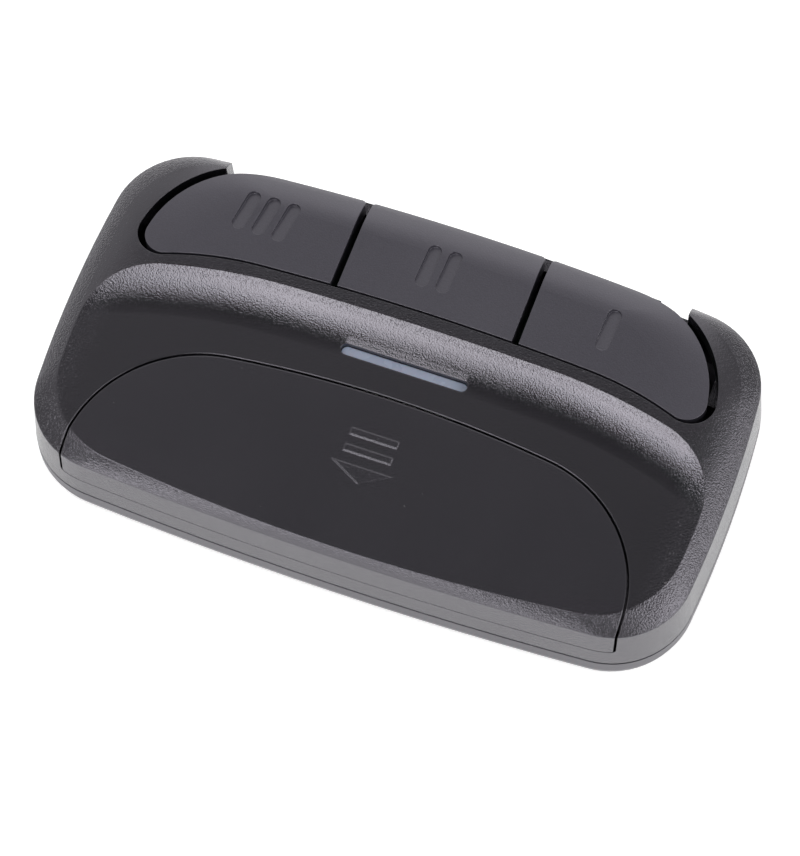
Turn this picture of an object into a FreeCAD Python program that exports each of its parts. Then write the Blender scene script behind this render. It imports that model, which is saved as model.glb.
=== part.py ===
import FreeCAD, Part
import math
import os

from FreeCAD import Vector

# Universal gate remote with three hinged buttons, a light bar and a sliding battery door.
# Millimetres, +Z up, the face it lies on at Z = 0, the battery door towards -Y.

# Body outline: four gently bowed sides with round corners, at the parting line
body_width = 80.0
body_depth = 45.0
front_bow_radius = 480.0
side_bow_radius = 145.0
back_bow_radius = 330.0
front_corner_radius = 9.8
back_corner_radius = 10.0

# Heights: the parting line above the face it lies on, the rest down from the top
top_height = 13.35
crown_rise = 2.55
scoop_depth = 1.2
parting_height = 4.2

# Walls
shell_wall = 1.6
wall_draft_degrees = 4.1
floor_thickness = 1.5
bottom_edge_radius = 2.3
bottom_edge_steps = 3
parting_groove = 0.3
lip_height = 1.0
lip_thickness = 0.7
lip_clearance = 0.06

# Snap nubs on the front of the lip, one on each side
snap_x = 11.0
snap_width = 6.0
snap_height = 0.4
snap_rise = 0.35
snap_reach = 0.3
snap_clearance = 0.08

# Crown: how far in from the crease the top surface reaches its full height
crown_front = 4.1
crown_side = 12.8
crown_back = 8.0
crown_power = 4
crown_reach = 0.7
crown_levels = 3
crown_front_corner_growth = 8.0
crown_back_corner_growth = 4.0
crown_front_bend = 0.0123

# Scoop: flat floor with a concave slope that rises to the ridge behind it
scoop_side_inset = 2.75
scoop_reach = 23.7
scoop_bow_radius = 511.0
scoop_bow_half_width = 15.3
scoop_hip_radius = 59.3
scoop_shoulder_radius = 4.4
scoop_slope_radius = 15.2
scoop_slope_height = 2.2

# Button field: front edge along the ridge, round ends, back edge parallel to the body's
button_front_reach = 31.43
button_front_bow_radius = 330.0
button_front_bow_half_width = 20.0
button_front_shoulder_radius = 38.0
button_end_inset = 6.1
button_end_radius = 13.2
button_corner_radius = 2.4
button_back_inset = 1.55
button_back_corner_radius = 0.5
button_front_gap = 0.28
button_end_gap = 1.05
button_split_x = 10.95
button_split_gap = 0.85
pocket_corner_radius = 3.1
pocket_back_inset = 11.8
button_skin = 1.3
button_wall = 1.15
button_ceiling_share = 0.5
button_skirt_drop = 3.4
back_sill_drop = 4.05
back_notch_width = 3.8
back_notch_drop = 6.45
button_apron_room = 0.5
button_apron_drop = 5.75

# Button hinge, catch and press point
hinge_setback = 1.97
hinge_drop = 3.95
hinge_pin_radius = 0.8
hinge_clearance = 0.05
hinge_clip_width = 2.2
hinge_clip_half_height = 1.3
hinge_clip_reach = 0.75
hinge_clip_mouth = 1.3
hinge_clip_stem = 1.5
hinge_clip_root = 0.3
hinge_side_clearance = 0.3
hinge_cheek = 1.0
hinge_cheek_reach = 1.2
hinge_notch_room = 1.9
hinge_notch_headroom = 0.35
hinge_switch_room = 0.1
press_back_inset = 7.0
press_inward = 0.925
press_post_size = 2.4
press_gap = 0.1
catch_width = 2.0
catch_thickness = 0.75
catch_root = 1.0
catch_wall_gap = 0.25
catch_sill_distance = 1.7
catch_lip_height = 0.8
catch_lip_reach = 0.75
catch_play = 0.1
catch_travel_room = 0.9
catch_split_distance = 4.25
catch_edge_distance = 7.4
press_travel = 0.25

# Battery door: arched plate whose front edge folds down over the front wall
door_side_inset = 6.97
door_reach = 20.38
door_bow_radius = 145.0
door_shoulder_radius = 15.93
door_seam = 0.3
door_foot_seam = 0.12
door_plate = 1.3
door_skirt = 1.35
door_skirt_length = 3.65
door_skirt_corner = 0.4
door_deck_gap = 0.2
door_travel = 4.5
hook_insets = ((11.0, 4.4), (5.0, 10.9))
hook_length = 2.0
hook_stem = 1.2
hook_foot_width = 3.4
hook_foot_thickness = 0.8
hook_clearance = 0.15
hook_foot_gap = 0.1

# Inner deck of the upper shell
deck_thickness = 1.0
deck_ledge = 1.2
bulkhead_thickness = 0.9
bulkhead_overlap = 0.8
cell_wall = 0.8

# Coin cell and its seat, and the contacts
cell_radius = 10.0
cell_height = 3.2
cell_front_inset = 3.0
cell_headroom = 1.25
cell_clearance = 0.25
cell_rim_step = 0.35
cell_can_height = 2.3
door_rib_gap = 0.15
door_rib_thickness = 1.0
door_rib_x = 4.0
door_rib_length = 8.0
contact_room = 1.0
contact_thickness = 0.25
contact_width = 4.0
contact_notch_clearance = 0.3
contact_tip_x = 8.0
contact_touch_x = 6.5
contact_foot_x = 2.5
contact_tip_dip = 0.25
contact_touch_half_length = 0.25
leaf_gap = 0.05
leaf_bow = 0.65
leaf_foot_length = 3.2
leaf_top_gap = 0.4

# Circuit board, its posts and the two pins that place it
board_side_inset = 7.6
board_end_inset = 3.5
board_corner_radius = 5.0
board_thickness = 1.0
board_post_inset = 4.4
board_post_size = 3.0
board_pin_radius = 0.9
board_pin_clearance = 0.1
board_pin_height = 0.8

# Tact switches
switch_size = 6.0
switch_case_height = 3.45
switch_case_chamfer = 0.4
switch_plunger_radius = 1.75
switch_plunger_clearance = 0.06
switch_plunger_rise = 0.85
switch_bore_depth = 1.5
switch_plunger_sunk = 1.15
program_switch_x = 16.5
program_switch_inset = 4.5
program_hole_clearance = 0.3

# Light bar in the scoop's slope
light_length = 15.2
light_width = 1.42
light_toe_distance = 0.9
light_sink = 0.75
light_clearance = 0.05
light_flange = 0.8
light_leg_x = 6.0
light_leg_size = 1.8
light_facet_half_length = 7.3
light_facet_reach = 0.75
light_facet_lip = 0.3
light_facet_drop = 0.03
light_facet_rise = 0.12
indicator_size = 1.6
indicator_height = 1.4
indicator_gap = 0.3
indicator_room = 0.25

# Closure screws near the back corners
screw_side_inset = 4.8
screw_back_inset = 10.0
screw_shank_radius = 1.0
screw_head_radius = 1.9
screw_head_height = 1.5
screw_head_sink = 0.5
screw_length = 6.2
screw_end_room = 0.3
screw_thread_clearance = 0.02
screw_hole_clearance = 0.15
screw_head_clearance = 0.3
boss_size = 3.8
boss_sill_gap = 0.3
boss_bottom_wall = 0.7
boss_rib = 1.2

# Clip slot in the underside, for a visor clip's plate
clip_slot_width = 12.4
clip_slot_length = 18.0
clip_slot_y = 4.0
clip_slot_depth = 2.2
clip_lip_width = 1.6
clip_lip_length = 10.0
clip_lip_thickness = 0.9
clip_roof = 1.0

# Small electronic parts: places on the board and sizes
chip_height = 1.5
chip_width = 3.9
chip_leg_pitch = 1.27
chip_leg_width = 0.4
chip_leg_thickness = 0.2
chip_leg_reach = 0.95
chip_leg_rise = 0.8
chip_standoff = 0.15
microcontroller_place = (-20.0, 0.5)
microcontroller_length = 8.6
microcontroller_legs = 7
radio_chip_place = (-21.0, -10.0)
radio_chip_length = 4.9
radio_chip_legs = 4
crystal_place = (-18.0, 6.5)
crystal_half_length = 3.2
crystal_radius = 1.9
crystal_height = 2.5
filter_place = (19.0, 1.5)
filter_length = 5.0
filter_width = 3.5
filter_base_height = 1.0
filter_lid_height = 0.3
filter_lid_step = 0.3
capacitor_places = ((-27.5, -4.0), (-27.5, 4.0), (13.0, 4.5), (24.5, 1.5), (16.5, -4.0))
capacitor_size = (2.0, 1.25, 0.9)
resistor_places = ((-27.5, -8.0), (-27.5, 0.0), (13.0, 1.5), (24.5, 5.5), (20.5, -4.0),
                   (-8.0, 8.0), (8.0, 8.0))
resistor_size = (1.6, 0.8, 0.5)
front_row_x = -18.0
front_row_inset = 2.5
antenna_width = 1.0
antenna_thickness = 0.5
antenna_side_inset = 2.2
antenna_front_inset = 8.0
antenna_length = 19.0
antenna_rise = 1.6

# How far joined solids run into one another, and cutting tools past a face
bite = 0.1
past = 1.0

# How near an edge lies to the place where it is looked for
hair = 0.01

# Values that follow from those above
half_width = body_width / 2
half_depth = body_depth / 2
draft = math.tan(math.radians(wall_draft_degrees))
crease_height = top_height - crown_rise
crease_inset = draft * (crease_height - parting_height)
scoop_floor_height = top_height - scoop_depth
scoop_half_width = half_width - scoop_side_inset
scoop_back_y = -half_depth + scoop_reach
button_front_y = -half_depth + button_front_reach
button_back_y = half_depth - button_back_inset
button_end_x = half_width - button_end_inset
button_skirt_height = top_height - button_skirt_drop
pocket_back_half_width = half_width - pocket_back_inset
back_sill_height = top_height - back_sill_drop
back_notch_height = top_height - back_notch_drop
button_apron_height = top_height - button_apron_drop
hinge_y = button_front_y + hinge_setback
hinge_height = top_height - hinge_drop
hinge_half_gap = hinge_clip_width / 2 + hinge_side_clearance
press_x = (button_split_x + button_end_x) / 2 - press_inward
press_y = half_depth - press_back_inset
catch_bottom_height = back_sill_height - catch_sill_distance
door_half_width = half_width - door_side_inset
door_back_y = -half_depth + door_reach
door_underside = scoop_floor_height - door_plate
door_skirt_bottom = crease_height - door_skirt_length
deck_top = door_underside - door_deck_gap
deck_bottom = deck_top - deck_thickness
cell_top = door_underside - cell_headroom
cell_bottom = cell_top - cell_height
cell_y = -half_depth + cell_front_inset + cell_radius
cell_bore = cell_radius + cell_clearance
board_top = cell_bottom - contact_room
board_bottom = board_top - board_thickness
board_half_width = half_width - board_side_inset
board_half_depth = half_depth - board_end_inset
board_post_x = board_half_width - board_post_inset
board_post_y = board_half_depth - board_post_inset
case_top = board_top + switch_case_height
plunger_top = case_top + switch_plunger_rise
program_switch_y = -board_half_depth + program_switch_inset
light_y = scoop_back_y + light_toe_distance
lip_top = parting_height + lip_height
snap_bottom = parting_height + snap_rise
screw_x = half_width - screw_side_inset
screw_y = half_depth - screw_back_inset
head_top = screw_head_sink + screw_head_height
far = 2 * body_width
high = 2 * top_height


def box(x0, x1, y0, y1, z0, z1):
    return Part.makeBox(x1 - x0, y1 - y0, z1 - z0, Vector(x0, y0, z0))


def centred_box(x, y, length, width, z0, z1):
    return box(x - length / 2, x + length / 2, y - width / 2, y + width / 2, z0, z1)


def rod(radius, x, y, z0, z1):
    return Part.makeCylinder(radius, z1 - z0, Vector(x, y, z0))


def cross_rod(radius, x0, x1, y, z):
    return Part.makeCylinder(radius, x1 - x0, Vector(x0, y, z), Vector(1, 0, 0))


def mirrored(shape):
    return shape.mirror(Vector(0, 0, 0), Vector(1, 0, 0))


def fused(shapes):
    shapes = list(shapes)
    return shapes[0].multiFuse(shapes[1:]).removeSplitter()


def meeting(centre_a, radius_a, centre_b, radius_b, toward):
    """The crossing of two circles that lies nearer to the point toward."""
    across = centre_b - centre_a
    gap = across.Length
    along = (radius_a ** 2 - radius_b ** 2 + gap ** 2) / (2 * gap)
    aside = math.sqrt(radius_a ** 2 - along ** 2)
    across.normalize()
    side = Vector(-across.y, across.x, 0)
    foot = centre_a + across * along
    ends = (foot + side * aside, foot - side * aside)
    return min(ends, key=lambda point: (point - toward).Length)


def on_circle(centre, radius, toward):
    """The point of a circle that faces, or lies beyond, the point toward."""
    ray = toward - centre
    ray.normalize()
    return centre + ray * radius


def arc(centre, start, end):
    """The shorter arc about centre from start to end."""
    middle = (start - centre).normalize() + (end - centre).normalize()
    return Part.Arc(start, on_circle(centre, (start - centre).Length, centre + middle), end).toShape()


def line(start, end):
    return Part.LineSegment(start, end).toShape()


def flipped(point):
    return Vector(-point.x, point.y, point.z)


def edge_of(centre, start, end):
    """An arc about centre, or a straight line where there is no centre."""
    return line(start, end) if centre is None else arc(centre, start, end)


def both_sides(pieces):
    """Closed wire from the pieces of a right-hand half and their mirror images."""
    edges = [edge_of(*piece) for piece in pieces]
    for centre, start, end in reversed(pieces):
        edges.append(edge_of(centre if centre is None else flipped(centre), flipped(end), flipped(start)))
    return Part.Wire(edges)


def prism(wire, z0, z1):
    face = Part.Face(wire)
    face.translate(Vector(0, 0, z0))
    return face.extrude(Vector(0, 0, z1 - z0))


def side_profile(points, x0, x1):
    """A block whose outline in the YZ plane is given, from x0 to x1."""
    corners = [Vector(x0, y, z) for y, z in points]
    return Part.Face(Part.makePolygon(corners + corners[:1])).extrude(Vector(x1 - x0, 0, 0))


def front_profile(points, y0, y1):
    """A block whose outline in the XZ plane is given, from y0 to y1."""
    corners = [Vector(x, y0, z) for x, z in points]
    return Part.Face(Part.makePolygon(corners + corners[:1])).extrude(Vector(0, y1 - y0, 0))


def bowed_outline(side_inset, front_inset, back_inset, front_bow, front_corner, back_corner, height):
    """Closed outline with bowed front, sides and back and round corners."""
    side_bow = side_bow_radius - side_inset
    back_bow = back_bow_radius - back_inset
    front_centre = Vector(0, -half_depth + front_inset + front_bow, height)
    side_centre = Vector(half_width - side_bow_radius, 0, height)
    back_centre = Vector(0, half_depth - back_bow_radius, height)
    front_turn = meeting(front_centre, front_bow - front_corner, side_centre, side_bow - front_corner,
                         Vector(half_width, -half_depth, height))
    back_turn = meeting(back_centre, back_bow - back_corner, side_centre, side_bow - back_corner,
                        Vector(half_width, half_depth, height))
    front_middle = front_centre - Vector(0, front_bow, 0)
    side_middle = side_centre + Vector(side_bow, 0, 0)
    back_middle = back_centre + Vector(0, back_bow, 0)
    front_end = on_circle(front_centre, front_bow, front_turn)
    side_start = on_circle(side_centre, side_bow, front_turn)
    side_end = on_circle(side_centre, side_bow, back_turn)
    back_start = on_circle(back_centre, back_bow, back_turn)
    return both_sides([(front_centre, front_middle, front_end), (front_turn, front_end, side_start),
                       (side_centre, side_start, side_middle), (side_centre, side_middle, side_end),
                       (back_turn, side_end, back_start), (back_centre, back_start, back_middle)])


def body_outline(inset, height):
    """The body's outline at the parting line, drawn in by inset."""
    return bowed_outline(inset, inset, inset, front_bow_radius - inset, front_corner_radius - inset,
                         back_corner_radius - inset, height)


def wall_outline(inset, height):
    """The drafted wall's outline at a height, drawn in by inset."""
    return body_outline(inset + draft * (height - parting_height), height)


def drafted_block(inset, z0, z1):
    return Part.makeLoft([wall_outline(inset, z0), wall_outline(inset, z1)], True, True)


def roof_height(share):
    """Height of the crown where it has come in by a share of its reach."""
    return crease_height + crown_rise * (1 - (1 - share) ** crown_power)


def crown_outline(share):
    front_bow = 1 / (1 / (front_bow_radius - crease_inset) + crown_front_bend * share)
    return bowed_outline(crease_inset + crown_side * share,
                         crease_inset + crown_front * share,
                         crease_inset + crown_back * share,
                         front_bow,
                         front_corner_radius - crease_inset + crown_front_corner_growth * share,
                         back_corner_radius - crease_inset + crown_back_corner_growth * share,
                         roof_height(share))


def crown():
    """The domed top above the crease, flat over the middle."""
    shares = [crown_reach * level / crown_levels for level in range(crown_levels + 1)]
    return Part.makeLoft([crown_outline(share) for share in shares], True, False)


def whole_body(bottom):
    """The outer form from a height up, before the scoop and the openings."""
    return drafted_block(0, bottom, crease_height).fuse(crown())


def arch_half(half, back_y, bow_radius, bow_half_width, hip_radius, shoulder_radius):
    """Right-hand half of an arch: straight side, shoulder and hip, and a flatter bow where it has one."""
    bow_centre = Vector(0, back_y - bow_radius, 0)
    bow_end = bow_centre + Vector(bow_half_width, math.sqrt(bow_radius ** 2 - bow_half_width ** 2), 0)
    hip_centre = on_circle(bow_end, hip_radius, bow_centre)
    across = half - shoulder_radius - hip_centre.x
    rise = math.sqrt((hip_radius - shoulder_radius) ** 2 - across ** 2)
    shoulder_centre = Vector(half - shoulder_radius, hip_centre.y + rise, 0)
    side_end = Vector(half, shoulder_centre.y, 0)
    hip_end = on_circle(hip_centre, hip_radius, shoulder_centre)
    pieces = [(None, Vector(half, -body_depth, 0), side_end), (shoulder_centre, side_end, hip_end),
              (hip_centre, hip_end, bow_end)]
    if bow_half_width > 0:
        pieces.append((bow_centre, bow_end, Vector(0, back_y, 0)))
    return pieces


def filled_arch(pieces, z0, z1):
    """The arch closed along the front and carried straight up."""
    foot = pieces[0][1]
    front = (None, Vector(0, foot.y, 0), foot)
    return prism(both_sides([front] + pieces), z0, z1)


def door_prism(grow, z0, z1):
    """The door's outline from above, grown outwards, carried from z0 to z1."""
    radius = door_bow_radius + grow
    return filled_arch(arch_half(door_half_width + grow, door_back_y + grow, radius, 0, radius,
                                 door_shoulder_radius + grow), z0, z1)


def scoop_cutters():
    """Flat floor, and the hollow slope swept along each half of the floor's back edge."""
    pieces = arch_half(scoop_half_width, scoop_back_y, scoop_bow_radius, scoop_bow_half_width,
                       scoop_hip_radius, scoop_shoulder_radius)
    floor = filled_arch(pieces, scoop_floor_height, high)
    reach = math.sqrt(scoop_slope_radius ** 2 - (scoop_slope_radius - scoop_slope_height) ** 2)
    toe = Vector(scoop_half_width, -body_depth, scoop_floor_height)
    slope_centre = toe + Vector(0, 0, scoop_slope_radius)
    slope_end = toe + Vector(reach, 0, scoop_slope_height)
    outer_top = Vector(slope_end.x, -body_depth, high)
    inner_top = Vector(toe.x, -body_depth, high)
    profile = Part.Wire([arc(slope_centre, toe, slope_end), line(slope_end, outer_top),
                         line(outer_top, inner_top), line(inner_top, toe)])
    spine = Part.Wire([edge_of(*piece) for piece in pieces])
    slope = spine.makePipeShell([profile], True, False)
    return floor, slope, mirrored(slope)


def scooped_body(bottom):
    body = whole_body(bottom)
    for cutter in scoop_cutters():
        body = body.cut(cutter)
    return body


def front_edge_centres():
    """Centres of the buttons' front edge: its bow and the tighter arc beside it; and their joint."""
    bow_centre = Vector(0, button_front_y - button_front_bow_radius, 0)
    rise = math.sqrt(button_front_bow_radius ** 2 - button_front_bow_half_width ** 2)
    joint = bow_centre + Vector(button_front_bow_half_width, rise, 0)
    return bow_centre, on_circle(joint, button_front_shoulder_radius, bow_centre), joint


def front_edge_y(x, gap):
    """Where the button field's front edge lies, grown by a gap, at a distance x from the middle."""
    centre, shoulder_centre, joint = front_edge_centres()
    radius = button_front_bow_radius - gap
    if abs(x) > button_front_bow_half_width:
        centre = shoulder_centre
        radius = button_front_shoulder_radius - gap
    return centre.y + math.sqrt(radius ** 2 - (abs(x) - centre.x) ** 2)


def field_half(front_gap, end_gap, corner):
    """Front edge, shoulder and corner of the field's right-hand half; and the end's centre and start."""
    bow_centre, shoulder_centre, joint = front_edge_centres()
    end_x = button_end_x - button_end_radius
    back_centre_y = button_back_y - back_bow_radius
    rise = math.sqrt((back_bow_radius - button_end_radius) ** 2 - end_x ** 2)
    end_centre = Vector(end_x, back_centre_y + rise, 0)
    bow_radius = button_front_bow_radius - front_gap
    shoulder_radius = button_front_shoulder_radius - front_gap
    end_radius = button_end_radius + end_gap
    corner_centre = meeting(shoulder_centre, shoulder_radius + corner, end_centre, end_radius - corner,
                            Vector(button_end_x, button_front_y, 0))
    bow_end = on_circle(bow_centre, bow_radius, joint)
    shoulder_end = on_circle(shoulder_centre, shoulder_radius, corner_centre)
    end_start = on_circle(end_centre, end_radius, corner_centre)
    pieces = [(bow_centre, bow_centre + Vector(0, bow_radius, 0), bow_end),
              (shoulder_centre, bow_end, shoulder_end), (corner_centre, shoulder_end, end_start)]
    return pieces, end_centre, end_start


def button_field(inset, z0, z1):
    """All three buttons as one block, drawn in by inset."""
    pieces, end_centre, end_start = field_half(-inset, -inset, button_corner_radius - inset)
    back_centre = Vector(0, button_back_y - back_bow_radius, 0)
    back_radius = back_bow_radius - inset
    back_start = on_circle(back_centre, back_radius, end_centre)
    pieces += [(end_centre, end_start, back_start),
               (back_centre, back_start, back_centre + Vector(0, back_radius, 0))]
    return prism(both_sides(pieces), z0, z1)


def button_pocket(z0, z1):
    """The opening for the buttons, which runs out through the back wall."""
    pieces, end_centre, end_start = field_half(button_front_gap, button_end_gap, pocket_corner_radius)
    aside = pocket_back_half_width - end_centre.x
    tip_y = end_centre.y + math.sqrt((button_end_radius + button_end_gap) ** 2 - aside * aside)
    tip = Vector(pocket_back_half_width, tip_y, 0)
    outside = Vector(pocket_back_half_width, body_depth, 0)
    pieces += [(end_centre, end_start, tip), (None, tip, outside),
               (None, outside, Vector(0, body_depth, 0))]
    return prism(both_sides(pieces), z0, z1)


def back_line(x, inset):
    """Where the body's back outline lies at a distance x from the middle."""
    return half_depth - back_bow_radius + math.sqrt((back_bow_radius - inset) ** 2 - x * x)


def door_front_window(side_grow, foot_grow, top, y1):
    """The door's front view up to a height, with round lower corners, carried along Y to y1."""
    y0 = -body_depth
    wide = door_half_width + side_grow
    low = door_skirt_bottom - foot_grow
    turn = door_skirt_corner + side_grow
    start = Vector(wide - turn, y0, low)
    end = Vector(wide, y0, low + turn)
    peak = Vector(wide, y0, top)
    wire = both_sides([(None, Vector(0, y0, low), start), (Vector(wide - turn, y0, low + turn), start, end),
                       (None, end, peak), (None, peak, Vector(0, y0, top))])
    return Part.Face(wire).extrude(Vector(0, y1 - y0, 0))


def button_middles():
    return {"one": press_x, "two": 0.0, "three": -press_x}


def hinge_stations(middle):
    """The two places where a button's hinge clips stand, clear of its switch on both sides."""
    aside = switch_size / 2 + hinge_switch_room + hinge_cheek + hinge_half_gap
    return middle - aside, middle + aside


def catch_stations(name):
    """Where a button's two catches hook into the back wall."""
    inner = button_split_x - catch_split_distance
    outer = (button_split_x + catch_split_distance, pocket_back_half_width - catch_edge_distance)
    return {"one": outer, "two": (-inner, inner), "three": (-outer[0], -outer[1])}[name]


def hinge_clip(x):
    """Spring clip under the ridge that holds a button's hinge pin."""
    x0 = x - hinge_clip_width / 2
    x1 = x + hinge_clip_width / 2
    stem_back = front_edge_y(x, button_front_gap) - bite
    front = stem_back - hinge_clip_stem
    stem = box(x0, x1, front, stem_back, hinge_height - hinge_clip_half_height, deck_top + hinge_clip_root)
    jaws = box(x0, x1, front, hinge_y + hinge_clip_reach, hinge_height - hinge_clip_half_height,
               hinge_height + hinge_clip_half_height)
    bore = cross_rod(hinge_pin_radius + hinge_clearance, x0, x1, hinge_y, hinge_height)
    mouth = box(x0, x1, hinge_y, hinge_y + 2 * hinge_clip_reach,
                hinge_height - hinge_clip_mouth / 2, hinge_height + hinge_clip_mouth / 2)
    return stem.fuse(jaws).cut(bore).cut(mouth)


def catch_recess(x):
    """Pocket in the back wall's inner face for a button's catch."""
    wall_y = back_line(x, shell_wall + draft * (catch_bottom_height - parting_height))
    top = catch_bottom_height + catch_lip_height + catch_play
    side = catch_width / 2 + hinge_side_clearance
    return box(x - side, x + side, wall_y - shell_wall, wall_y + catch_lip_reach,
               top - catch_lip_height - catch_travel_room, top)


def screw_places():
    return Vector(-screw_x, screw_y, 0), Vector(screw_x, screw_y, 0)


def hook_places():
    """The door's hooks on its right-hand side."""
    return [(door_half_width - side, door_back_y - back) for side, back in hook_insets]


def snap_windows(clearance):
    """Where the snap nubs stand, seen from above, one on each side of the front."""
    side = snap_width / 2 + clearance
    z0 = snap_bottom - clearance
    z1 = snap_bottom + snap_height + clearance
    return [box(x - side, x + side, -body_depth, -half_depth / 2, z0, z1) for x in (-snap_x, snap_x)]


def snap_nubs():
    """Nubs on the outer face of the lip that snap into the upper shell."""
    middle = shell_wall - lip_thickness / 2
    band = prism(body_outline(shell_wall - lip_thickness - snap_reach, 0), parting_height, lip_top)
    band = band.cut(prism(body_outline(middle, 0), 0, high))
    return [band.common(window) for window in snap_windows(0)]


def top_housing(body):
    """Upper shell with the scoop, the two openings, the deck, the cell's well and the hinge clips."""
    cavity = drafted_block(shell_wall, parting_height - past, deck_top)
    rabbet_inset = shell_wall - lip_thickness - lip_clearance
    rabbet = prism(body_outline(rabbet_inset, 0), parting_height - past, lip_top + lip_clearance)
    snap_room = prism(body_outline(rabbet_inset - snap_reach, 0), parting_height, lip_top)
    shell = body.cut(cavity).cut(rabbet)
    for window in snap_windows(snap_clearance):
        shell = shell.cut(snap_room.common(window))
    shell = shell.cut(button_pocket(back_sill_height, high))
    for notch in back_notches():
        shell = shell.cut(notch)
    shell = shell.cut(door_prism(door_seam / 2, deck_top, high))
    shell = shell.cut(door_front_window(door_seam / 2, door_foot_seam / 2, deck_top, -half_depth / 2))
    pieces = [shell, deck(), bulkhead(), cell_well()]
    pieces += [boss_above(place) for place in screw_places()]
    pieces += [hinge_clip(x) for middle in button_middles().values() for x in hinge_stations(middle)]
    shell = fused(pieces)
    shell = shell.cut(rod(cell_bore, 0, cell_y, board_top, deck_top))
    shell = shell.cut(contact_notch())
    shell = shell.cut(light_opening())
    for room in indicator_rooms():
        shell = shell.cut(room)
    shell = shell.cut(rod(switch_plunger_radius + program_hole_clearance, program_switch_x,
                          program_switch_y, deck_bottom - bite, deck_top + bite))
    for place in screw_places():
        shell = shell.cut(rod(screw_shank_radius + screw_thread_clearance, place.x, place.y,
                              parting_height, head_top + screw_length + screw_end_room))
    for x, y in hook_places():
        slot = hook_slot(x, y)
        shell = shell.cut(slot).cut(mirrored(slot))
    for name in button_middles():
        for x in catch_stations(name):
            shell = shell.cut(catch_recess(x))
    return shell


def back_notches():
    """Where the back wall drops beside the curved outer ends of the button field."""
    x0 = pocket_back_half_width - back_notch_width
    y0 = back_line(pocket_back_half_width, shell_wall + crease_inset) - bite
    notch = box(x0, pocket_back_half_width, y0, body_depth, back_notch_height, high)
    return notch, mirrored(notch)


def deck():
    """Plate under the door, with a ledge under the edge of the opening."""
    plate = door_prism(door_seam / 2 + deck_ledge, deck_bottom, deck_top)
    return plate.common(drafted_block(shell_wall - bite, deck_bottom - past, deck_top + past))


def bulkhead():
    """Inner front wall that closes the shell behind the door's skirt."""
    low = door_skirt_bottom - bulkhead_overlap
    outer = drafted_block(shell_wall - bite / 2, low, deck_top)
    inner = drafted_block(shell_wall + bulkhead_thickness, low - past, deck_top + past)
    wide = door_half_width + door_seam / 2 + deck_ledge
    return outer.cut(inner).common(box(-wide, wide, -body_depth, -half_depth / 2, 0, high))


def cell_well():
    """Round wall that centres the coin cell and presses on the board."""
    ring = rod(cell_bore + cell_wall, 0, cell_y, board_top, deck_top)
    return ring.common(drafted_block(shell_wall - bite / 2, parting_height, deck_top + past))


def contact_notch():
    """Opening in the well's wall for the contact at the cell's side."""
    width = contact_width + 2 * contact_notch_clearance
    return box(-cell_bore - 2 * cell_wall, -cell_radius, cell_y - width / 2, cell_y + width / 2,
               board_top, deck_bottom)


def indicator_rooms():
    """Room beside the cell's well for the lamps and the light bar's legs."""
    size = max(indicator_size, light_leg_size) + 2 * indicator_room
    return [centred_box(x, light_y, size, size, board_top, deck_bottom) for x in (-light_leg_x, light_leg_x)]


def light_opening():
    """Slot for the light bar, room for its flange under the skin, and the flat facet behind it."""
    slot = rounded_slot(light_length, light_width, deck_top - bite, high)
    spread = 2 * (light_flange + light_clearance)
    seat = centred_box(0, light_y, light_length + spread, light_width + spread, deck_bottom, deck_top)
    behind = light_y + light_width / 2
    low = scoop_floor_height - light_facet_drop
    end_y = behind + light_facet_reach
    lip_y = behind - light_facet_lip
    clear = scoop_floor_height + past
    facet = side_profile([(lip_y, low), (behind, low), (end_y, scoop_floor_height + light_facet_rise),
                          (end_y, clear), (lip_y, clear)],
                         -light_facet_half_length, light_facet_half_length)
    return fused([slot, seat, facet])


def rounded_slot(length, width, z0, z1):
    """A slot with round ends, along X at the light bar's place."""
    reach = (length - width) / 2
    middle = centred_box(0, light_y, 2 * reach, width, z0, z1)
    return fused([middle, rod(width / 2, -reach, light_y, z0, z1), rod(width / 2, reach, light_y, z0, z1)])


def hook_slot(x, y):
    """Keyhole slot in the deck: narrow where the hook holds, wide where the door lifts off."""
    narrow = hook_stem / 2 + hook_clearance
    wide = hook_foot_width / 2 + 2 * hook_clearance
    half = hook_length / 2 + hook_clearance
    front = y - door_travel
    channel = box(x - narrow, x + narrow, front, y + half, deck_bottom - bite, deck_top + bite)
    window = box(x - wide, x + wide, front - half, front + half, deck_bottom - bite, deck_top + bite)
    return channel.fuse(window)


def boss_above(place):
    """Screw boss of the upper shell, tied to the side wall by a rib."""
    top = back_sill_height - boss_sill_gap
    post = centred_box(place.x, place.y, boss_size, boss_size, parting_height, top)
    outward = math.copysign(1, place.x)
    ends = sorted((place.x, outward * (half_width - shell_wall)))
    rib = box(ends[0], ends[1], place.y - boss_rib / 2, place.y + boss_rib / 2,
              lip_top + screw_end_room, top)
    return post.fuse(rib)


def lower_form(top):
    """Outer form of the lower shell, its bottom edge rounded in equal steps."""
    outlines = []
    for step in range(bottom_edge_steps + 1):
        turn = math.pi / 2 * step / bottom_edge_steps
        outlines.append(body_outline(bottom_edge_radius * (1 - math.sin(turn)),
                                     bottom_edge_radius * (1 - math.cos(turn))))
    outlines.append(body_outline(0, top))
    return Part.makeLoft(outlines, True, True)


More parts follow.
